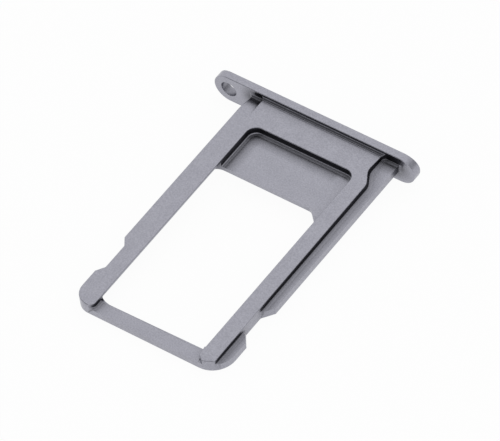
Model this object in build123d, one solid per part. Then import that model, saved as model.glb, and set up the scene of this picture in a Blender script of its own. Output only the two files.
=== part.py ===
from build123d import *
import os

# A phone's tray for one nano SIM card, machined from a single piece of aluminium.
# A face plate closes the slot in the phone's side, and a thin frame behind it carries the card.
# The card lies in a pocket in the frame's underside, against a ledge along each side of a window.
#
# All sizes are in millimetres. X runs along the face plate, Y out through it, and Z is up.
# The model is built with X = 0 at the middle of the card, Y = 0 at the plate's inner face and
# Z = 0 at the frame's underside. At the end it is set down on its lowest edge, centred.

# Card
CARD_LENGTH = 12.30
CARD_WIDTH = 8.80
CARD_THICKNESS = 0.67
CARD_CORNER_RADIUS = 1.00
CARD_CUT_CORNER = 1.45
CARD_CUT_ROUNDING = 0.45
CARD_CLEARANCE = 0.04

# Face plate
PLATE_HEIGHT = 2.13
PLATE_REACH_LEFT_OF_FRAME = 2.925
PLATE_REACH_RIGHT_OF_FRAME = 1.06
PLATE_EDGE_THICKNESS = 0.54
PLATE_CROWN = 0.14
PLATE_RIM_ROUNDING = 0.06
PLATE_RISE_OVER_FRAME = 0.27
PIN_HOLE_RADIUS = 0.55

# Frame
FRAME_THICKNESS = 0.86
POCKET_SETBACK = 5.44
LEFT_WALL = 0.68
RIGHT_WALL = 0.68
LEFT_LEDGE = 0.82
RIGHT_LEDGE = 0.45
END_BAR_WIDTH = 0.87
LEFT_FREE_CORNER_RADIUS = 1.08
RIGHT_FREE_CORNER_RADIUS = 1.56

# Flange and end bar, which lie one step below the frame's top
STEP_DEPTH = 0.33
FLANGE_WIDTH = 0.575
RAIL_JOG = 0.55
RAIL_JOG_SETBACK = 1.97
RAIL_JOG_RUN = 0.92
RAIL_JOG_RADIUS = 0.92
RAIL_ROOT_RADIUS = 0.30
END_STEP_INSET = 0.40
END_STEP_SLANT = 0.80
END_STEP_TURN = 0.30
END_STEP_LAST_SLANT = 1.30
END_STEP_FLARE = 0.27
END_STEP_FLARE_SLANT = 1.00
END_STEP_TURN_RADIUS = 0.30

# Recess in the web between the plate and the window
RECESS_SETBACK = 2.09
RECESS_DEPTH = 0.52
RECESS_CORNER_RADIUS = 0.65

# Scoop at the root of the left rail
SCOOP_WIDTH = 0.88
SCOOP_DEPTH = 0.43
SCOOP_RUN = 1.05

# Notches in the two long sides
LEFT_NOTCH_SETBACK = 14.80
LEFT_NOTCH_FLOOR = 1.92
LEFT_NOTCH_SLOPE_RUN = 0.55
LEFT_NOTCH_DEPTH = 0.38
RIGHT_NOTCH_SETBACK = 14.50
RIGHT_NOTCH_FLOOR = 1.50
RIGHT_NOTCH_SLOPE_RUN = 0.77
NOTCH_ROUNDING = 0.15

# Soft inside corners and broken outside edges
FLOOR_FILLET = 0.24
ROOT_FILLET = 0.20
EDGE_ROUNDING = 0.05

# Distance that a cutter or a joint reaches past the surface it works on
OVERRUN = 0.20

# Lengths under TOUCH count as nothing, and joins turning less than SMOOTH_TURN degrees as smooth.
# PROBE is how far beside an edge the solid is probed, to tell an inside corner from an outside one.
TOUCH = 0.001
SMOOTH_TURN = 20
PROBE = 0.01

# Places that follow from the sizes
POCKET_LENGTH = CARD_LENGTH + 2 * CARD_CLEARANCE
POCKET_WIDTH = CARD_WIDTH + 2 * CARD_CLEARANCE
POCKET_LEFT = -POCKET_WIDTH / 2
POCKET_RIGHT = POCKET_WIDTH / 2
POCKET_NEAR = -POCKET_SETBACK
POCKET_FAR = POCKET_NEAR - POCKET_LENGTH
FREE_END = POCKET_FAR - END_BAR_WIDTH
FRAME_LEFT = POCKET_LEFT - LEFT_WALL
RAIL_RIGHT = POCKET_RIGHT + RIGHT_WALL
FRAME_RIGHT = RAIL_RIGHT + FLANGE_WIDTH
WINDOW_LEFT = POCKET_LEFT + LEFT_LEDGE
WINDOW_RIGHT = POCKET_RIGHT - RIGHT_LEDGE
LOW_LEVEL = FRAME_THICKNESS - STEP_DEPTH
RECESS_FLOOR = FRAME_THICKNESS - RECESS_DEPTH
SCOOP_FLOOR = FRAME_THICKNESS - SCOOP_DEPTH
BROKEN_LEVELS = (0, CARD_THICKNESS, FRAME_THICKNESS)
PLATE_LEFT = FRAME_LEFT - PLATE_REACH_LEFT_OF_FRAME
PLATE_RIGHT = FRAME_RIGHT + PLATE_REACH_RIGHT_OF_FRAME
PLATE_MIDDLE_X = (PLATE_LEFT + PLATE_RIGHT) / 2
PLATE_THICKNESS = PLATE_EDGE_THICKNESS + PLATE_CROWN
PLATE_TOP = FRAME_THICKNESS + PLATE_RISE_OVER_FRAME
PLATE_BOTTOM = PLATE_TOP - PLATE_HEIGHT
PLATE_MIDDLE_Z = PLATE_TOP - PLATE_HEIGHT / 2


def arc_radius(half_chord, rise):
    """Radius of the arc that rises by a given amount over half its chord."""
    return (half_chord**2 + rise**2) / (2 * rise)


def rounded_outline(corners):
    """A flat face whose corners are given in turn as (x, y, rounding radius)."""
    points = [(x, y) for x, y, radius in corners]
    radii = [radius for x, y, radius in corners]
    return make_face(FilletPolyline(*points, radius=radii, close=True))


def face_plate():
    """The plate: round ends, an outer face that curves with the phone's side, and the pin hole."""
    length = PLATE_RIGHT - PLATE_LEFT
    plate_middle = Pos(PLATE_MIDDLE_X, 0, PLATE_MIDDLE_Z)
    blank = extrude(Plane.XZ * SlotOverall(length, PLATE_HEIGHT), amount=-PLATE_THICKNESS)
    radius = arc_radius(PLATE_HEIGHT / 2, PLATE_CROWN)
    side_curve = Cylinder(radius, length + OVERRUN, rotation=(0, 90, 0))
    plate = blank & Pos(0, PLATE_THICKNESS - radius, 0) * side_curve
    rim = plate.faces().sort_by(Axis.Y)[-1].edges()
    return plate_middle * fillet(rim, PLATE_RIM_ROUNDING) - pin_hole()


def pin_hole():
    """The hole for the ejector pin, concentric with the plate's left round end."""
    drill = Cylinder(PIN_HOLE_RADIUS, PLATE_THICKNESS + 2 * OVERRUN, rotation=(90, 0, 0))
    return Pos(PLATE_LEFT + PLATE_HEIGHT / 2, PLATE_THICKNESS / 2, PLATE_MIDDLE_Z) * drill


def frame_plan():
    """Outline of the whole frame, which reaches a little way into the plate."""
    return rounded_outline(
        [
            (FRAME_LEFT, OVERRUN, 0),
            (FRAME_LEFT, FREE_END, LEFT_FREE_CORNER_RADIUS),
            (FRAME_RIGHT, FREE_END, RIGHT_FREE_CORNER_RADIUS),
            (FRAME_RIGHT, OVERRUN, 0),
        ]
    )


def flange_plan():
    """Area beside the right rail, whose wall jogs inwards on its way to the plate."""
    jog_near = RAIL_JOG_RUN / 2 - RAIL_JOG_SETBACK
    jog_far = jog_near - RAIL_JOG_RUN
    rail_root = RAIL_RIGHT - RAIL_JOG
    outside = FRAME_RIGHT + OVERRUN
    beyond_end = FREE_END - OVERRUN
    return rounded_outline(
        [
            (outside, 0, 0),
            (rail_root, 0, RAIL_ROOT_RADIUS),
            (rail_root, jog_near, RAIL_JOG_RADIUS),
            (RAIL_RIGHT, jog_far, RAIL_JOG_RADIUS),
            (RAIL_RIGHT, beyond_end, 0),
            (outside, beyond_end, 0),
        ]
    )


def end_bar_plan():
    """Area between the ends of the rails, which both turn outwards on their way to the free end."""
    in_window = POCKET_FAR + OVERRUN
    beyond_end = FREE_END - OVERRUN
    flare = FREE_END + END_STEP_FLARE
    turn = FREE_END + END_STEP_TURN
    right_edge = WINDOW_RIGHT - END_STEP_INSET
    right_at_turn = right_edge + END_STEP_SLANT * (POCKET_FAR - turn)
    return rounded_outline(
        [
            (WINDOW_LEFT, in_window, 0),
            (WINDOW_LEFT, flare, END_STEP_TURN_RADIUS),
            (WINDOW_LEFT - END_STEP_FLARE_SLANT * (flare - beyond_end), beyond_end, 0),
            (right_at_turn + END_STEP_LAST_SLANT * (turn - beyond_end), beyond_end, 0),
            (right_at_turn, turn, END_STEP_TURN_RADIUS),
            (right_edge + END_STEP_SLANT * (POCKET_FAR - in_window), in_window, 0),
        ]
    )


def recess_plan():
    """Area between the rails that is sunk into the web and opens into the window."""
    in_window = POCKET_NEAR - CARD_CUT_CORNER - OVERRUN
    return rounded_outline(
        [
            (WINDOW_LEFT, -RECESS_SETBACK, RECESS_CORNER_RADIUS),
            (WINDOW_LEFT, in_window, 0),
            (WINDOW_RIGHT, in_window, 0),
            (WINDOW_RIGHT, -RECESS_SETBACK, RECESS_CORNER_RADIUS),
        ]
    )


def card_plan():
    """Outline of the card with its clearance: three round corners and one cut off."""
    return rounded_outline(
        [
            (POCKET_LEFT, POCKET_NEAR, CARD_CORNER_RADIUS),
            (POCKET_LEFT, POCKET_FAR, CARD_CORNER_RADIUS),
            (POCKET_RIGHT, POCKET_FAR, CARD_CORNER_RADIUS),
            (POCKET_RIGHT, POCKET_NEAR - CARD_CUT_CORNER, CARD_CUT_ROUNDING),
            (POCKET_RIGHT - CARD_CUT_CORNER, POCKET_NEAR, CARD_CUT_ROUNDING),
        ]
    )


def lies_within(edge, axis, low, high):
    """Whether an edge of some length lies wholly between two places along an axis."""
    if edge.length < TOUCH:
        return False
    box = edge.bounding_box()
    return getattr(box.min, axis) > low - TOUCH and getattr(box.max, axis) < high + TOUCH


def corners(body, inside):
    """Edges at which the surface turns clearly, either inside corners or outside ones."""
    faces_beside = {}
    for face in body.faces():
        for edge in face.edges():
            faces_beside.setdefault(edge, []).append(face)
    found = []
    for edge in body.edges():
        if edge.length > TOUCH:
            middle = edge @ 0.5
            first, last = (faces_beside[edge][i].normal_at(middle) for i in (0, -1))
            probe = middle + (first - last) * PROBE
            if first.get_angle(last) > SMOOTH_TURN and body.solid().is_inside(probe) == inside:
                found.append(edge)
    return found


def at_right_end_step(edge):
    """Whether an edge belongs to the right rail's end, whose foot is left sharp."""
    across = lies_within(edge, "X", 0, RAIL_RIGHT)
    return across and lies_within(edge, "Y", FREE_END, POCKET_FAR + OVERRUN)


def stepped_frame():
    """The frame with its flange, end bar and recess at their levels, and soft corners along them."""
    plan = frame_plan()
    rails_plan = plan - flange_plan() - end_bar_plan()
    frame = extrude(plan, LOW_LEVEL) + extrude(rails_plan, FRAME_THICKNESS)
    frame -= Pos(0, 0, RECESS_FLOOR) * extrude(recess_plan(), RECESS_DEPTH + OVERRUN)
    for level in (LOW_LEVEL, RECESS_FLOOR):
        foot = [edge for edge in corners(frame, True) if lies_within(edge, "Z", level, level)]
        frame = fillet([edge for edge in foot if not at_right_end_step(edge)], FLOOR_FILLET)
    return frame


def card_pocket():
    """The card's own space below the ledges, with the window cut up between them."""
    plan = card_plan()
    pocket_middle = (POCKET_NEAR + POCKET_FAR) / 2
    between_ledges = Pos((WINDOW_LEFT + WINDOW_RIGHT) / 2, pocket_middle) * Rectangle(
        WINDOW_RIGHT - WINDOW_LEFT, POCKET_LENGTH + OVERRUN
    )
    pocket = extrude(plan, OVERRUN + CARD_THICKNESS)
    window = extrude(plan & between_ledges, OVERRUN + FRAME_THICKNESS + OVERRUN)
    return Pos(0, 0, -OVERRUN) * (pocket + window)


def scoop():
    """The space cut from the left rail's top, which rolls down to its deepest at the plate."""
    width = SCOOP_WIDTH + OVERRUN
    radius = arc_radius(SCOOP_RUN, SCOOP_DEPTH)
    behind_plate = Box(width, SCOOP_RUN, 2 * SCOOP_DEPTH, align=(Align.CENTER, Align.MAX, Align.CENTER))
    rolled_top = Pos(0, -SCOOP_RUN, -radius) * Cylinder(radius, width, rotation=(0, 90, 0))
    middle_x = FRAME_LEFT + (SCOOP_WIDTH - OVERRUN) / 2
    return Pos(middle_x, 0, FRAME_THICKNESS) * (behind_plate - rolled_top)


def notch(side, outward, setback, floor, slope_run, depth):
    """A notch through one long side, with a straight floor between two slopes."""
    inner = side - outward * depth
    outer = side + outward * depth
    near_floor = floor / 2 - setback
    far_floor = near_floor - floor
    plan = rounded_outline(
        [
            (outer, near_floor + 2 * slope_run, 0),
            (inner, near_floor, NOTCH_ROUNDING),
            (inner, far_floor, NOTCH_ROUNDING),
            (outer, far_floor - 2 * slope_run, 0),
        ]
    )
    return Pos(0, 0, -OVERRUN) * extrude(plan, OVERRUN + FRAME_THICKNESS + OVERRUN)


def left_notch():
    """The notch in the left rail."""
    return notch(
        FRAME_LEFT, -1, LEFT_NOTCH_SETBACK, LEFT_NOTCH_FLOOR, LEFT_NOTCH_SLOPE_RUN, LEFT_NOTCH_DEPTH
    )


def right_notch():
    """The notch in the flange, as deep as the flange is wide."""
    return notch(
        FRAME_RIGHT, 1, RIGHT_NOTCH_SETBACK, RIGHT_NOTCH_FLOOR, RIGHT_NOTCH_SLOPE_RUN, FLANGE_WIDTH
    )


def with_root_fillets(tray):
    """Soft inside corners all round the frame's root, where it meets the plate's inner face."""
    on_plate = [edge for edge in tray.edges() if lies_within(edge, "Y", 0, 0)]
    root = [edge for edge in on_plate if lies_within(edge, "X", FRAME_LEFT, FRAME_RIGHT)]
    return fillet(root, ROOT_FILLET)


def with_broken_edges(tray):
    """A small rounding on the outside edges that lie flat along the frame and round the plate."""
    chosen = []
    for edge in corners(tray, False):
        along_frame = any(lies_within(edge, "Z", level, level) for level in BROKEN_LEVELS)
        round_plate = lies_within(edge, "Y", 0, PLATE_THICKNESS)
        if along_frame or round_plate:
            chosen.append(edge)
    return fillet(chosen, EDGE_ROUNDING)


def sim_card_tray():
    """The whole tray, standing on its lowest edge with its footprint centred on the origin."""
    frame = stepped_frame() - card_pocket() - scoop() - left_notch() - right_notch()
    tray = with_broken_edges(with_root_fillets(face_plate() + frame))
    footprint_middle_y = (PLATE_THICKNESS + FREE_END) / 2
    return Pos(-PLATE_MIDDLE_X, -footprint_middle_y, -PLATE_BOTTOM) * tray


os.makedirs("parts", exist_ok=True)
export_step(sim_card_tray(), "parts/sim_card_tray.step")
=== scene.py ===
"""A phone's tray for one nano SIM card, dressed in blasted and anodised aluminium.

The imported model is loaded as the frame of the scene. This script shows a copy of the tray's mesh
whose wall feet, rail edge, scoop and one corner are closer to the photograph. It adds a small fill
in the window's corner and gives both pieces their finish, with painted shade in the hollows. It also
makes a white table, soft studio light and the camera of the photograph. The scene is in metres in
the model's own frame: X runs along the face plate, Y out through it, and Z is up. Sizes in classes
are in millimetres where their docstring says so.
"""

import logging
import math
from dataclasses import dataclass, field
from enum import Enum
from typing import Any

import bmesh
import bpy
from mathutils import Matrix, Vector


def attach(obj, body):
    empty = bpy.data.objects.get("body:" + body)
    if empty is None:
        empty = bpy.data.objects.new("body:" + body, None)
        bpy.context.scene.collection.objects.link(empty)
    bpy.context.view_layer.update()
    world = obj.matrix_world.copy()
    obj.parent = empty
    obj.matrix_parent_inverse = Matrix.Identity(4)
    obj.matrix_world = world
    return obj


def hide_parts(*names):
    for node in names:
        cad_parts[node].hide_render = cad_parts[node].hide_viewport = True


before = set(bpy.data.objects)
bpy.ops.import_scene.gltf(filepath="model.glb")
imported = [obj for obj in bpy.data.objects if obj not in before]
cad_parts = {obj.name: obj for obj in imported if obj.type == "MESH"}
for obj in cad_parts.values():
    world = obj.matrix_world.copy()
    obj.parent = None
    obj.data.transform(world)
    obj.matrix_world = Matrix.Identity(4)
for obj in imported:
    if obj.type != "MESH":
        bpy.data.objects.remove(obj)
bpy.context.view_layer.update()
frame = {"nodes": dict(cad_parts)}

log = logging.getLogger("sim_card_tray")

Colour = tuple[float, float, float, float]

MILLIMETRE = 0.001
WHITE: Colour = (1.0, 1.0, 1.0, 1.0)

# The point that the camera and the light face, at the height of the tray's top
AIM = Vector((0.00128785, 0.00062304, 0.00186))

# The mesh attribute that says how much less painted shade a hollow's surface gets, from 0 to 1
FOOT_SHARE = "foot_share"

# Decimals of a millimetre to which places are rounded when points are compared
PLACE_DIGITS = 4

# Upward parts of the normal of a face that all but stands upright, and of one that all but lies flat
UPRIGHT = 0.02
FLAT = 0.9999

# Width of a ramp that serves as a step, in millimetres
STEP_WIDTH = 0.01

# Distance after which the wave texture's bands repeat at a scale of 1
WAVE_PERIOD = math.pi / 10


class Operation(Enum):
    """The sums that an expression on sockets can ask a Math node for."""

    ADD = "ADD"
    SUBTRACT = "SUBTRACT"
    MULTIPLY = "MULTIPLY"
    POWER = "POWER"


class Field:
    """A number that changes over a surface, written as a Python expression on its socket."""

    def __init__(self, tree: bpy.types.NodeTree, socket: bpy.types.NodeSocket) -> None:
        """Wraps one output socket.

        Args:
            tree: The node tree that the socket belongs to.
            socket: The socket that gives the number.
        """
        self.tree = tree
        self.socket = socket

    def _combine(self, operation: Operation, first: Any, second: Any) -> "Field":
        """Adds one Math node.

        Args:
            operation: The sum that the node does.
            first: A field or a plain number.
            second: A field or a plain number.

        Returns:
            The field that the node gives.
        """
        node = self.tree.nodes.new("ShaderNodeMath")
        node.operation = operation.value
        for place, value in zip(node.inputs, (first, second)):
            if isinstance(value, Field):
                self.tree.links.new(value.socket, place)
            else:
                place.default_value = value
        return Field(self.tree, node.outputs[0])

    def __add__(self, other: Any) -> "Field":
        """The field plus a field or number."""
        return self._combine(Operation.ADD, self, other)

    def __radd__(self, other: Any) -> "Field":
        """A number plus the field."""
        return self._combine(Operation.ADD, other, self)

    def __sub__(self, other: Any) -> "Field":
        """The field less a field or number."""
        return self._combine(Operation.SUBTRACT, self, other)

    def __rsub__(self, other: Any) -> "Field":
        """A number less the field."""
        return self._combine(Operation.SUBTRACT, other, self)

    def __mul__(self, other: Any) -> "Field":
        """The field times a field or number."""
        return self._combine(Operation.MULTIPLY, self, other)

    def __rmul__(self, other: Any) -> "Field":
        """A number times the field."""
        return self._combine(Operation.MULTIPLY, other, self)

    def __pow__(self, other: Any) -> "Field":
        """The field to the power of a field or number."""
        return self._combine(Operation.POWER, self, other)

    def __rpow__(self, other: Any) -> "Field":
        """A number to the power of the field."""
        return self._combine(Operation.POWER, other, self)


class Shading:
    """A material's or world's node tree, with the few ways in which this scene fills it."""

    def __init__(self, owner: bpy.types.Material | bpy.types.World) -> None:
        """Empties the owner's node tree.

        Args:
            owner: The material or world that the nodes are for.
        """
        owner.use_nodes = True
        self.tree = owner.node_tree
        self.tree.nodes.clear()

    def node(
        self, kind: str, settings: dict[str, Any] | None = None, inputs: dict[str | int, Any] | None = None
    ) -> bpy.types.ShaderNode:
        """Adds a node of any type.

        Args:
            kind: The node's type.
            settings: Its own settings, which are set first.
            inputs: A value, field or socket for each named or numbered input.

        Returns:
            The new node.
        """
        made = self.tree.nodes.new(kind)
        for name, value in (settings or {}).items():
            setattr(made, name, value)
        for place, value in (inputs or {}).items():
            socket = made.inputs[place]
            if isinstance(value, Field):
                self.tree.links.new(value.socket, socket)
            elif isinstance(value, bpy.types.NodeSocket):
                self.tree.links.new(value, socket)
            else:
                socket.default_value = value
        return made

    def field(self, node: bpy.types.ShaderNode, output: str | int = 0) -> Field:
        """A node's output as a field."""
        return Field(self.tree, node.outputs[output])

    def mix(self, factor: Field | float, first: Any, second: Any) -> bpy.types.NodeSocket:
        """Mixes two colours.

        Args:
            factor: How much of the second colour there is.
            first: The colour, or its socket, at a factor of 0.
            second: The colour, or its socket, at a factor of 1.

        Returns:
            The socket of the mixed colour.
        """
        # Inputs 6 and 7 and output 2 are the node's colours
        node = self.node(
            "ShaderNodeMix", {"data_type": "RGBA"}, {"Factor": factor, 6: first, 7: second}
        )
        return node.outputs[2]

    def finish(self, shader: bpy.types.ShaderNode, kind: str = "ShaderNodeOutputMaterial") -> None:
        """Sends a shader to the output node."""
        self.node(kind, None, {"Surface": shader.outputs[0]})


@dataclass(frozen=True)
class BlastedAnodisedAluminium:
    """Aluminium that was blasted with fine beads and then anodised grey, with painted shade in its hollows,
    sizes in millimetres.
    """

    name: str = "anodised_metal"
    grey: Colour = (0.21, 0.21, 0.245, 1.0)
    pale_grey: Colour = (0.485, 0.485, 0.545, 1.0)
    # The painted shade in hollows: its colour, occlusion samples and reach, and how deep it goes in hollows
    # and at feet
    painted_shade_grey: Colour = (0.02, 0.02, 0.023, 1.0)
    hollow_samples: int = 8
    hollow_reach: float = 1.05
    hollow_depth: float = 3.8
    foot_depth: float = 0.8
    # Where the painted shade is mostly taken off: the recess's floor and the end bar's top beside the right
    # rail
    open_floor_depth_share: float = 0.12
    open_floor_start: float = 3.3
    open_floor_full: float = 3.7
    open_floor_end: float = 4.64
    open_end_bar_extra: float = 0.36
    open_end_bar_start: float = -8.86
    open_floor_back: float = 6.3
    open_floor_back_end: float = 6.9
    roughness: float = 0.3
    roughness_change: float = 0.06
    noise_roughness: float = 0.5
    grain_width: float = 0.09
    grain_layers: float = 2.0
    grain_height: float = 0.005
    fine_grain_width: float = 0.04
    fine_grain_layers: float = 1.0
    fine_grain_share: float = 0.4
    cloud_width: float = 0.9
    cloud_layers: float = 2.0
    cloud_share: float = 0.2
    tool_line_spacing: float = 0.115
    tool_line_height: float = 0.012
    tool_line_shade: float = 1.0
    tool_lines_start: float = 8.55
    tool_lines_full: float = 8.85
    tool_lines_end: float = 8.97
    tool_lines_above: float = 1.8

    def material(self) -> bpy.types.Material:
        """Builds the material.

        Returns:
            The material, in the mesh's own coordinates.
        """
        made = bpy.data.materials.new(self.name)
        shading = Shading(made)
        in_metres = shading.node("ShaderNodeTexCoord").outputs["Object"]
        scaling = shading.node(
            "ShaderNodeVectorMath", {"operation": "SCALE"}, {0: in_metres, "Scale": 1 / MILLIMETRE}
        )
        place = scaling.outputs[0]
        grain = self._noise(shading, place, self.grain_width, self.grain_layers)
        fine_grain = self._noise(shading, place, self.fine_grain_width, self.fine_grain_layers)
        cloud = self._noise(shading, place, self.cloud_width, self.cloud_layers)
        tool_lines = self._tool_lines(shading, place)
        both_grains = grain * (1 - self.fine_grain_share) + fine_grain * self.fine_grain_share
        grain_relief = both_grains * (self.grain_height * MILLIMETRE)
        height = grain_relief + tool_lines * (self.tool_line_height * MILLIMETRE)
        relief = shading.node("ShaderNodeBump", None, {"Height": height, "Distance": 1.0})
        tone = cloud * self.cloud_share + grain * (1 - self.cloud_share)
        blasted = shading.mix(tone - tool_lines * self.tool_line_shade, self.grey, self.pale_grey)
        metal = shading.node(
            "ShaderNodeBsdfPrincipled",
            None,
            {
                # Painted shade: the base colour darkens towards the painted shade grey in hollows found by
                # ambient occlusion
                "Base Color": shading.mix(self._openness(shading, place), self.painted_shade_grey, blasted),
                "Metallic": 1.0,
                "Roughness": grain * self.roughness_change + (self.roughness - self.roughness_change / 2),
                "Normal": relief.outputs[0],
            },
        )
        shading.finish(metal)
        return made

    def _openness(self, shading: Shading, place: bpy.types.NodeSocket) -> Field:
        """Works out the painted shade in hollows, with less of it at the feet of walls and on the open
        floors.

        Args:
            shading: The tree that the openness is for.
            place: The surface's place in millimetres.

        Returns:
            How much of its own colour the surface keeps against the painted shade, from 0 to 1.
        """
        around = shading.node(
            "ShaderNodeAmbientOcclusion",
            {"samples": self.hollow_samples, "only_local": True},
            {"Distance": self.hollow_reach * MILLIMETRE},
        )
        foot = shading.field(shading.node("ShaderNodeAttribute", {"attribute_name": FOOT_SHARE}), "Fac")
        depth = self.hollow_depth - foot * (self.hollow_depth - self.foot_depth)
        lost_depth = self._open_floor(shading, place) * (1 - self.open_floor_depth_share)
        return shading.field(around, "AO") ** (depth * (1 - lost_depth))

    def _tool_lines(self, shading: Shading, place: bpy.types.NodeSocket) -> Field:
        """Adds the fine lines that the mill leaves on the web, along the plate's foot.

        Args:
            shading: The tree that the lines are for.
            place: The surface's place in millimetres.

        Returns:
            The lines, from 0 to 1, which fade away from the plate.
        """
        parts = shading.node("ShaderNodeSeparateXYZ", None, {0: place})
        out, up = shading.field(parts, "Y"), shading.field(parts, "Z")
        near_plate = self._ramp(shading, out, self.tool_lines_start, self.tool_lines_full)
        on_plate = self._ramp(shading, out, self.tool_lines_end, self.tool_lines_end + STEP_WIDTH)
        on_top = self._ramp(shading, up, self.tool_lines_above, self.tool_lines_above + STEP_WIDTH)
        waves = shading.node(
            "ShaderNodeTexWave",
            {"wave_type": "BANDS", "bands_direction": "Y", "wave_profile": "SIN"},
            {"Vector": place, "Scale": WAVE_PERIOD / self.tool_line_spacing, "Distortion": 0.0},
        )
        return shading.field(waves, "Fac") * near_plate * on_top * (1 - on_plate)

    def _open_floor(self, shading: Shading, place: bpy.types.NodeSocket) -> Field:
        """Finds the recess's floor and the end bar's top beside the right rail, where the painted shade is
        mostly taken off.

        Args:
            shading: The tree that the place is for.
            place: The surface's place in millimetres.

        Returns:
            How far the place is on these floors, from 0 to 1.
        """
        parts = shading.node("ShaderNodeSeparateXYZ", None, {0: place})
        across, out = shading.field(parts, "X"), shading.field(parts, "Y")
        off_end_bar = self._ramp(
            shading, out, self.open_end_bar_start, self.open_end_bar_start + STEP_WIDTH
        )
        last = self.open_floor_end + self.open_end_bar_extra
        near_rail = self._ramp(shading, across, self.open_floor_start, self.open_floor_full)
        in_rail = self._ramp(
            shading, across + off_end_bar * self.open_end_bar_extra, last, last + STEP_WIDTH
        )
        at_back = self._ramp(shading, out, self.open_floor_back, self.open_floor_back_end)
        return near_rail * (1 - in_rail) * (1 - at_back)

    def _ramp(self, shading: Shading, value: Field, low: float, high: float) -> Field:
        """A smooth rise from 0 to 1 as the value goes from low to high."""
        limits = {"Value": value, "From Min": low, "From Max": high}
        ramp = shading.node("ShaderNodeMapRange", {"interpolation_type": "SMOOTHSTEP"}, limits)
        return shading.field(ramp, "Result")

    def _noise(self, shading: Shading, place: bpy.types.NodeSocket, width: float, layers: float) -> Field:
        """Adds cloudy noise.

        Args:
            shading: The tree that the noise is for.
            place: The surface's place in millimetres.
            width: Rough width of one spot, in millimetres.
            layers: How many finer layers lie on it.

        Returns:
            The noise, from 0 to 1.
        """
        node = shading.node(
            "ShaderNodeTexNoise",
            {"noise_dimensions": "3D"},
            {"Vector": place, "Scale": 1 / width, "Detail": layers, "Roughness": self.noise_roughness},
        )
        return shading.field(node, "Fac")


@dataclass(frozen=True)
class WhiteTable:
    """A matt white surface that shows as plain white and keeps a faint shadow."""

    name: str = "white_table"
    white: Colour = (0.9, 0.9, 0.9, 1.0)
    own_white_share: float = 0.95

    def material(self) -> bpy.types.Material:
        """Builds the material.

        Returns:
            The material, which shows as white to the camera and in the metal.
        """
        made = bpy.data.materials.new(self.name)
        shading = Shading(made)
        matt = shading.node("ShaderNodeBsdfDiffuse", None, {"Color": self.white})
        plain = shading.node("ShaderNodeEmission", None, {"Color": WHITE, "Strength": 1.0})
        path = shading.node("ShaderNodeLightPath")
        camera = shading.field(path, "Is Camera Ray")
        glossy = shading.field(path, "Is Glossy Ray")
        transmission = shading.field(path, "Is Transmission Ray")
        seen = (camera + glossy + transmission) * self.own_white_share
        surface = shading.node(
            "ShaderNodeMixShader", None, {0: seen, 1: matt.outputs[0], 2: plain.outputs[0]}
        )
        shading.finish(surface)
        return made


def place_of(vertex: bpy.types.MeshVertex) -> tuple[float, ...]:
    """A point's place in millimetres, rounded so that points that coincide have the same."""
    return tuple(round(value / MILLIMETRE, PLACE_DIGITS) for value in vertex.co)


def leans(face: bpy.types.MeshPolygon) -> bool:
    """Whether a face lies between upright and flat, as the faces of a rounding do."""
    return UPRIGHT < face.normal.z < FLAT


def corner_normals(mesh: bpy.types.Mesh) -> list[Vector]:
    """The smooth normal at each corner of the mesh's faces."""
    return [corner.vector.copy() for corner in mesh.corner_normals]


def add_object(name: str, data: bpy.types.ID) -> bpy.types.Object:
    """Makes an object and puts it in the scene.

    Args:
        name: The object's name.
        data: Its mesh, lamp or lens.

    Returns:
        The object.
    """
    made = bpy.data.objects.new(name, data)
    bpy.context.scene.collection.objects.link(made)
    return made


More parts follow.
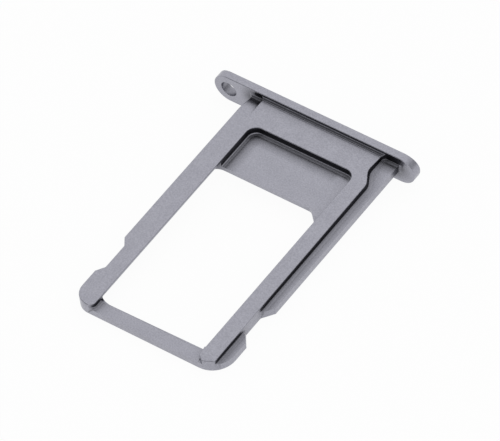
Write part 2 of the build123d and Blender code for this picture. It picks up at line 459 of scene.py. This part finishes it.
@dataclass(frozen=True)
class WallFeet:
    """The soft inside corners where walls meet one floor, all sizes in millimetres.

    On the model they are rounder than on the real tray, where the walls are taller and end in a
    small radius. How much less painted shade they get than other hollows is given from 0 to 1.
    """

    floor: float
    radius: float
    less_painted_shade: float
    left: float = -4.4
    plate_face: float = 9.006
    smallest_model_radius: float = 0.17
    largest_model_radius: float = 0.27
    slack: float = 0.002
    least_lean: float = 0.05
    least_reach: float = 0.05

    def tighten(self, mesh: bpy.types.Mesh) -> int:
        """Gives every foot on the floor its true radius and less painted shade, opens no gap and keeps the
        shading.

        Args:
            mesh: The mesh to change, in metres.

        Returns:
            How many points were moved.
        """
        normals = corner_normals(mesh)
        share = mesh.attributes.get(FOOT_SHARE) or mesh.attributes.new(FOOT_SHARE, "FLOAT", "CORNER")
        moves: dict[tuple[float, ...], list[Vector]] = {}
        for face in mesh.polygons:
            model_radius = self._model_radius(mesh, face, normals)
            if model_radius is None:
                continue
            for corner, point in zip(face.loop_indices, face.vertices):
                move = self._move(normals[corner], face.normal, model_radius)
                moves.setdefault(place_of(mesh.vertices[point]), []).append(move)
                # Marks the corner for less painted shade
                share.data[corner].value = self.less_painted_shade
        moved = 0
        for vertex in mesh.vertices:
            found = moves.get(place_of(vertex))
            if found:
                vertex.co += sum(found, Vector()) / len(found) * MILLIMETRE
                moved += 1
        mesh.normals_split_custom_set(normals)
        return moved

    def _model_radius(
        self, mesh: bpy.types.Mesh, face: bpy.types.MeshPolygon, normals: list[Vector]
    ) -> float | None:
        """Finds the radius of the foot that a face lies on.

        Args:
            mesh: The mesh.
            face: One of its faces.
            normals: The smooth normal at each corner of the mesh's faces.

        Returns:
            The radius in millimetres, or None for a face that isn't on a foot of this floor.
        """
        if not leans(face):
            return None
        radii = []
        for corner, point in zip(face.loop_indices, face.vertices):
            x, y, z = (value / MILLIMETRE for value in mesh.vertices[point].co)
            height = z - self.floor
            lean = 1 - normals[corner].z
            if not -self.slack <= height <= self.largest_model_radius:
                return None
            if x < self.left or y > self.plate_face:
                return None
            if lean > self.least_lean:
                radii.append(height / lean)
            elif height > self.least_lean * self.largest_model_radius + self.slack:
                return None
        if not radii or min(radii) < self.smallest_model_radius or max(radii) > self.largest_model_radius:
            return None
        return sum(radii) / len(radii)

    def _move(self, normal: Vector, face_normal: Vector, model_radius: float) -> Vector:
        """Works out how far one point of a foot moves.

        Args:
            normal: The smooth normal at the point.
            face_normal: The normal of the flat face that the point is on.
            model_radius: The foot's radius on the model.

        Returns:
            The move in millimetres.
        """
        sideways = Vector((normal.x, normal.y, 0))
        reach = sideways.length
        if reach < self.least_reach:
            sideways = Vector((face_normal.x, face_normal.y, 0))
        sideways.normalize()
        upward = Vector((0, 0, 1))
        return (sideways * (1 - reach) + upward * (1 - normal.z)) * (self.radius - model_radius)


@dataclass(frozen=True)
class PinHole:
    """The hole for the ejector pin, whose wall gets less painted shade than other hollows, in millimetres.
    """

    centre_x: float = -6.335
    centre_z: float = 1.065
    reach: float = 0.6
    plate_face: float = 9.0
    less_painted_shade: float = 1.0

    def mark(self, mesh: bpy.types.Mesh) -> int:
        """Marks the hole's wall for less painted shade, in the same way as the feet of the frame's walls.

        Args:
            mesh: The mesh to mark, in metres.

        Returns:
            How many faces were marked.
        """
        share = mesh.attributes[FOOT_SHARE]
        marked = 0
        for face in mesh.polygons:
            middle = face.center / MILLIMETRE
            beside = math.hypot(middle.x - self.centre_x, middle.z - self.centre_z)
            if middle.y > self.plate_face and beside < self.reach:
                marked += 1
                for corner in face.loop_indices:
                    share.data[corner].value = self.less_painted_shade
        return marked


@dataclass(frozen=True)
class RailTopEdge:
    """The upper edge of the right rail's outer wall, which lies farther in than on the model.

    All sizes are in millimetres. The move fades over the length of the ends, towards the first and
    the last place along the rail.
    """

    inset: float = 0.07
    lowest: float = 1.805
    left: float = 4.8
    first: float = -9.0
    last: float = 8.7
    ends: float = 0.4
    least_outward: float = 0.05

    def set_in(self, mesh: bpy.types.Mesh) -> int:
        """Moves the broken edge inwards, less and less towards its two ends.

        Args:
            mesh: The mesh to change, in metres.

        Returns:
            How many points were moved.
        """
        normals = corner_normals(mesh)
        inwards: dict[tuple[float, ...], list[Vector]] = {}
        for face in mesh.polygons:
            if not leans(face) or face.normal.x < self.least_outward:
                continue
            places = [place_of(mesh.vertices[point]) for point in face.vertices]
            if all(place[0] > self.left and place[2] > self.lowest for place in places):
                inward = Vector((-face.normal.x, -face.normal.y, 0)).normalized()
                for place in places:
                    inwards.setdefault(place, []).append(inward)
        moved = 0
        for vertex in mesh.vertices:
            place = place_of(vertex)
            share = min(place[1] - self.first, self.last - place[1], self.ends) / self.ends
            if place in inwards and share > 0:
                inward = sum(inwards[place], Vector()).normalized()
                vertex.co += inward * (self.inset * share * MILLIMETRE)
                moved += 1
        mesh.update()
        mesh.normals_split_custom_set(normals)
        return moved


@dataclass(frozen=True)
class RailScoop:
    """The scoop at the left rail's root, which rolls down towards the plate, in millimetres.

    On the real tray it begins farther from the plate, and its slope is more even.
    """

    left: float = -4.48
    right: float = -3.54
    lowest: float = 1.4
    root: float = 8.805
    model_start: float = 7.954
    start: float = 7.45
    evenness: float = 1.3
    least_share: float = 0.01

    def lengthen(self, mesh: bpy.types.Mesh) -> int:
        """Draws the scoop out along the rail, and turns its shading to suit.

        Args:
            mesh: The mesh to change, in metres.

        Returns:
            How many points were moved.
        """
        normals = corner_normals(mesh)
        model_run = self.root - self.model_start
        run = self.root - self.start
        stretches: dict[int, float] = {}
        for vertex in mesh.vertices:
            if self._holds(vertex.co / MILLIMETRE):
                share = (vertex.co.y / MILLIMETRE - self.model_start) / model_run
                vertex.co.y = (self.start + run * share**self.evenness) * MILLIMETRE
                change = self.evenness * max(share, self.least_share) ** (self.evenness - 1)
                stretches[vertex.index] = run / model_run * change
        for loop in mesh.loops:
            if loop.vertex_index in stretches:
                normal = normals[loop.index]
                normal.y /= stretches[loop.vertex_index]
                normal.normalize()
        mesh.update()
        mesh.normals_split_custom_set(normals)
        return len(stretches)

    def _holds(self, place: Vector) -> bool:
        """Whether a point, in millimetres, lies on the stretch of rail that is drawn out."""
        along = self.model_start <= place.y <= self.root
        return along and self.left < place.x < self.right and place.z > self.lowest


@dataclass(frozen=True)
class RailEndCorner:
    """The corner where the right rail's end meets the window's round corner, in millimetres.

    On the model it stands out into the window. On the real tray it lies in line with the rail, so
    the stretch of the round corner that it takes up is drawn together. One narrow face of the end
    bar's edge is drawn along with it, across the window's corner, which is a known fault.
    """

    centre_x: float = 4.085
    centre_y: float = -7.815
    radius: float = 1.0
    first_x: float = 4.2
    last_x: float = 4.62
    remaining_share: float = 0.08
    reach: float = 0.12
    flat_enough: float = 0.999

    def set_back(self, mesh: bpy.types.Mesh) -> int:
        """Moves the corner along the window's edge, and turns the shading of the walls beside it.

        Args:
            mesh: The mesh to change, in metres.

        Returns:
            How many points were moved.
        """
        normals = corner_normals(mesh)
        was_flat = [
            min(normals[corner].dot(face.normal) for corner in face.loop_indices) > self.flat_enough
            for face in mesh.polygons
        ]
        moved = {vertex.index for vertex in mesh.vertices if self._holds(vertex.co / MILLIMETRE)}
        for index in moved:
            vertex = mesh.vertices[index]
            x = vertex.co.x / MILLIMETRE
            new_x = self.last_x - (self.last_x - x) * self.remaining_share
            vertex.co.x = new_x * MILLIMETRE
            vertex.co.y += (self._edge(new_x) - self._edge(x)) * MILLIMETRE
        mesh.update()
        for face, flat in zip(mesh.polygons, was_flat):
            if flat and moved.intersection(face.vertices):
                for corner in face.loop_indices:
                    normals[corner] = face.normal.copy()
        mesh.normals_split_custom_set(normals)
        return len(moved)

    def _edge(self, x: float) -> float:
        """The round corner's Y at a given X."""
        return self.centre_y - math.sqrt(self.radius**2 - (x - self.centre_x) ** 2)

    def _holds(self, place: Vector) -> bool:
        """Whether a point, in millimetres, lies on the stretch that is drawn together."""
        if not self.first_x < place.x < self.last_x or place.y > self.centre_y:
            return False
        return abs(math.hypot(place.x - self.centre_x, place.y - self.centre_y) - self.radius) < self.reach


@dataclass
class WindowCornerFill:
    """The round fill in the window's corner beside the left rail's end, sizes in millimetres.

    Its faces lie a hair inside the tray's, so that none of them share a plane.
    """

    name: str = "window_corner_fill"
    slot: str = "anodised_metal"
    pocket_left: float = -3.795
    pocket_end: float = -8.815
    ledge_edge: float = -2.975
    underside: float = 1.015
    end_bar_top: float = 1.526
    ledge_underside: float = 1.69
    radius: float = 1.6
    steps: int = 32

    def build(self, material: bpy.types.Material) -> bpy.types.Object:
        """Makes the fill.

        Args:
            material: The tray's finish, with its painted shade.

        Returns:
            The fill, which rides on the tray.
        """
        shell = bmesh.new()
        under_ledge, in_window = self._arc()
        corner = (self.pocket_left, self.pocket_end)
        beside = (self.ledge_edge, self.pocket_end)
        low = self._points(shell, under_ledge + in_window[1:] + [corner], self.underside)
        high = self._points(shell, under_ledge + [beside, corner], self.ledge_underside)
        middle = self._points(shell, in_window + [beside], self.end_bar_top)
        turn = len(under_ledge) - 1
        faces = [low, high, middle]

        # The round wall, first under the ledge and then in the window
        faces += [(low[i], low[i + 1], high[i + 1], high[i]) for i in range(turn - 1)]
        faces += [(low[turn - 1], low[turn], middle[0], high[turn], high[turn - 1])]
        faces += [
            (low[turn + i], low[turn + i + 1], middle[i + 1], middle[i]) for i in range(len(in_window) - 1)
        ]

        # The step at the ledge's edge, the end and the left side
        faces += [(middle[0], middle[-1], high[-2], high[-3])]
        faces += [(low[-2], middle[-2], middle[-1], high[-2], high[-1], low[-1])]
        faces += [(low[0], high[0], high[-1], low[-1])]
        for points in faces:
            shell.faces.new(points)
        bmesh.ops.recalc_face_normals(shell, faces=shell.faces[:])
        mesh = bpy.data.meshes.new(self.name)
        shell.to_mesh(mesh)
        shell.free()
        mesh.materials.append(material)
        fill = add_object(self.name, mesh)
        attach(fill, "root")
        return fill

    def _arc(self) -> tuple[list[tuple[float, float]], list[tuple[float, float]]]:
        """Works out the fill's round edge, from the pocket's left wall to its end.

        Returns:
            The places under the ledge and those in the window, with the ledge's edge in both.
        """
        middle_x, middle_y = self.pocket_left + self.radius, self.pocket_end + self.radius
        at_edge = math.acos((middle_x - self.ledge_edge) / self.radius)
        turns = [math.pi / 2 * step / self.steps for step in range(self.steps + 1)]

        def place(turn: float) -> tuple[float, float]:
            """The place on the arc at a turn from its start."""
            return (middle_x - self.radius * math.cos(turn), middle_y - self.radius * math.sin(turn))

        under_ledge = [place(turn) for turn in turns if turn < at_edge] + [place(at_edge)]
        in_window = [place(at_edge)] + [place(turn) for turn in turns if turn > at_edge]
        return under_ledge, in_window

    def _points(
        self, shell: bmesh.types.BMesh, places: list[tuple[float, float]], height: float
    ) -> list[bmesh.types.BMVert]:
        """Adds points at one height, given in millimetres."""
        return [shell.verts.new(Vector((x, y, height)) * MILLIMETRE) for x, y in places]


@dataclass
class SimCardTray:
    """The tray itself, which is one piece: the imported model's mesh, with some forms refined."""

    name: str = "tray_body"
    node: str = "sim_card_tray"
    slot: str = "anodised_metal"
    feet: tuple[WallFeet, ...] = (
        WallFeet(floor=1.34, radius=0.07, less_painted_shade=1.0),
        WallFeet(floor=1.53, radius=0.07, less_painted_shade=0.35),
    )
    pin_hole: PinHole = PinHole()
    top_edge: RailTopEdge = RailTopEdge()
    scoop: RailScoop = RailScoop()
    rail_end: RailEndCorner = RailEndCorner()
    # The finish, with painted shade in the hollows
    finish: BlastedAnodisedAluminium = field(default_factory=BlastedAnodisedAluminium)

    def build(self, nodes: dict[str, bpy.types.Object]) -> bpy.types.Object:
        """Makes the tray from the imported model's mesh and dresses it.

        Args:
            nodes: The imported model's objects by name.

        Returns:
            The dressed tray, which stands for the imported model's.
        """
        mesh = nodes[self.node].data.copy()
        mesh.name = self.name
        for feet in self.feet:
            log.info("feet at %.2f mm: %d points", feet.floor, feet.tighten(mesh))
        log.info("pin hole: %d faces", self.pin_hole.mark(mesh))
        log.info("rail's top edge: %d points", self.top_edge.set_in(mesh))
        log.info("scoop: %d points", self.scoop.lengthen(mesh))
        log.info("rail's end: %d points", self.rail_end.set_back(mesh))
        mesh.materials.clear()
        mesh.materials.append(self.finish.material())
        tray = add_object(self.name, mesh)
        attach(tray, "root")
        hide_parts(self.node)
        return tray


@dataclass
class Table:
    """The white table, in metres, which leans so that the plate's foot and the free end both rest on it."""

    name: str = "table"
    reach: float = 1.5
    plate_foot_y: float = 0.009005
    plate_foot_z: float = 0.0
    free_end_y: float = -0.009685
    free_end_z: float = 0.001
    finish: WhiteTable = field(default_factory=WhiteTable)

    def build(self) -> bpy.types.Object:
        """Makes the table.

        Returns:
            The table.
        """
        slope = (self.free_end_z - self.plate_foot_z) / (self.free_end_y - self.plate_foot_y)
        corners = [
            (x, y, self.plate_foot_z + slope * (y - self.plate_foot_y))
            for x, y in (
                (-self.reach, -self.reach),
                (self.reach, -self.reach),
                (self.reach, self.reach),
                (-self.reach, self.reach),
            )
        ]
        mesh = bpy.data.meshes.new(self.name)
        mesh.from_pydata(corners, [], [(0, 1, 2, 3)])
        mesh.materials.append(self.finish.material())
        table = add_object(self.name, mesh)
        return table


def direction(azimuth: float, elevation: float) -> Vector:
    """The direction from the tray to something round it.

    Args:
        azimuth: Degrees round the upright axis, 0 on the side of -Y and 90 on the side of +X.
        elevation: Degrees above the horizon.

    Returns:
        A vector of length 1.
    """
    around, above = math.radians(azimuth), math.radians(elevation)
    return Vector(
        (math.sin(around) * math.cos(above), -math.cos(around) * math.cos(above), math.sin(above))
    )


@dataclass
class SoftLight:
    """A square studio light with a cloth front, facing the tray, in degrees and metres."""

    name: str
    azimuth: float
    elevation: float
    distance: float
    width: float
    brightness: float

    def build(self, aim: Vector) -> bpy.types.Object:
        """Makes the light.

        Args:
            aim: The point that it faces.

        Returns:
            The light.
        """
        lamp = bpy.data.lights.new(self.name, "AREA")
        lamp.shape = "SQUARE"
        lamp.size = self.width
        lamp.energy = self.brightness * math.pi * self.width**2
        light = add_object(self.name, lamp)
        toward = direction(self.azimuth, self.elevation)
        light.location = aim + toward * self.distance
        light.rotation_mode = "QUATERNION"
        light.rotation_quaternion = toward.to_track_quat("Z", "Y")
        return light


@dataclass(frozen=True)
class RoomPatch:
    """A part of the room that is dimmer than the rest, with a soft border, in degrees."""

    azimuth: float
    elevation: float
    inner_angle: float
    outer_angle: float
    brightness: float


@dataclass
class Studio:
    """The light: one large soft light behind the tray's left, in a pale room with two dimmer parts."""

    aim: Vector
    name: str = "room"
    room_brightness: float = 0.93
    lights: tuple[SoftLight, ...] = (
        SoftLight("key_light", azimuth=-138.4, elevation=52.0, distance=0.45, width=0.62, brightness=0.12),
    )
    patches: tuple[RoomPatch, ...] = (
        RoomPatch(azimuth=-41.6, elevation=52.0, inner_angle=10.0, outer_angle=40.0, brightness=0.22),
        RoomPatch(azimuth=120.0, elevation=5.0, inner_angle=10.0, outer_angle=45.0, brightness=0.55),
    )

    def build(self) -> list[bpy.types.Object]:
        """Makes the room and its lights.

        Returns:
            The lights.
        """
        world = bpy.data.worlds.new(self.name)
        shading = Shading(world)
        brightness = self._brightness(shading)
        room = shading.node("ShaderNodeBackground", None, {"Color": WHITE, "Strength": brightness})
        shading.finish(room, "ShaderNodeOutputWorld")
        bpy.context.scene.world = world
        return [light.build(self.aim) for light in self.lights]

    def _brightness(self, shading: Shading) -> Field | float:
        """Works out how bright the room is in each direction.

        Args:
            shading: The world's node tree.

        Returns:
            The room's brightness, with its dimmer parts.
        """
        toward = shading.node("ShaderNodeTexCoord").outputs["Generated"]
        brightness: Field | float = self.room_brightness
        for patch in self.patches:
            middle = direction(patch.azimuth, patch.elevation)
            nearness = shading.node(
                "ShaderNodeVectorMath", {"operation": "DOT_PRODUCT"}, {0: toward, 1: middle}
            )
            share = shading.node(
                "ShaderNodeMapRange",
                {"interpolation_type": "SMOOTHSTEP"},
                {
                    "Value": nearness.outputs["Value"],
                    "From Min": math.cos(math.radians(patch.outer_angle)),
                    "From Max": math.cos(math.radians(patch.inner_angle)),
                },
            )
            brightness = brightness + (patch.brightness - brightness) * shading.field(share, "Result")
        return brightness


@dataclass
class PhotographCamera:
    """The camera of the photograph, as fitted to the tray's own edges, in degrees and metres.

    Its focal length and the sensor's width are in millimetres.
    """

    aim: Vector
    name: str = "camera"
    azimuth: float = 41.633
    elevation: float = 49.4128
    roll: float = -8.3571
    distance: float = 0.4328667
    focal_length: float = 521.274
    sensor_width: float = 36.0
    clip_ratio: float = 10.0

    def build(self) -> bpy.types.Object:
        """Makes the camera and gives it to the scene.

        Returns:
            The camera.
        """
        lens = bpy.data.cameras.new(self.name)
        lens.sensor_width = self.sensor_width
        lens.lens = self.focal_length
        lens.clip_start = self.distance / self.clip_ratio
        lens.clip_end = self.distance * self.clip_ratio
        camera = add_object(self.name, lens)
        back = direction(self.azimuth, self.elevation)
        level = back.to_track_quat("Z", "Y").to_matrix()
        turned = level @ Matrix.Rotation(math.radians(self.roll), 3, "Z")
        camera.matrix_world = Matrix.LocRotScale(self.aim + back * self.distance, turned, None)
        bpy.context.scene.camera = camera
        return camera


def main() -> None:
    """Builds the scene piece by piece."""
    logging.basicConfig(level=logging.INFO, format="%(message)s")
    tray = SimCardTray().build(frame["nodes"])
    log.info("%s: %d faces", tray.name, len(tray.data.polygons))
    fill = WindowCornerFill().build(tray.data.materials[0])
    log.info("%s: %d faces", fill.name, len(fill.data.polygons))
    table = Table().build()
    log.info("%s: %.1f m wide", table.name, table.dimensions.x)
    for light in Studio(AIM).build():
        log.info("%s: %.2f W", light.name, light.data.energy)
    camera = PhotographCamera(AIM).build()
    log.info("%s: %.1f mm lens", camera.name, camera.data.lens)
    bpy.context.scene.view_settings.view_transform = "Standard"


if __name__ == "__main__":
    main()
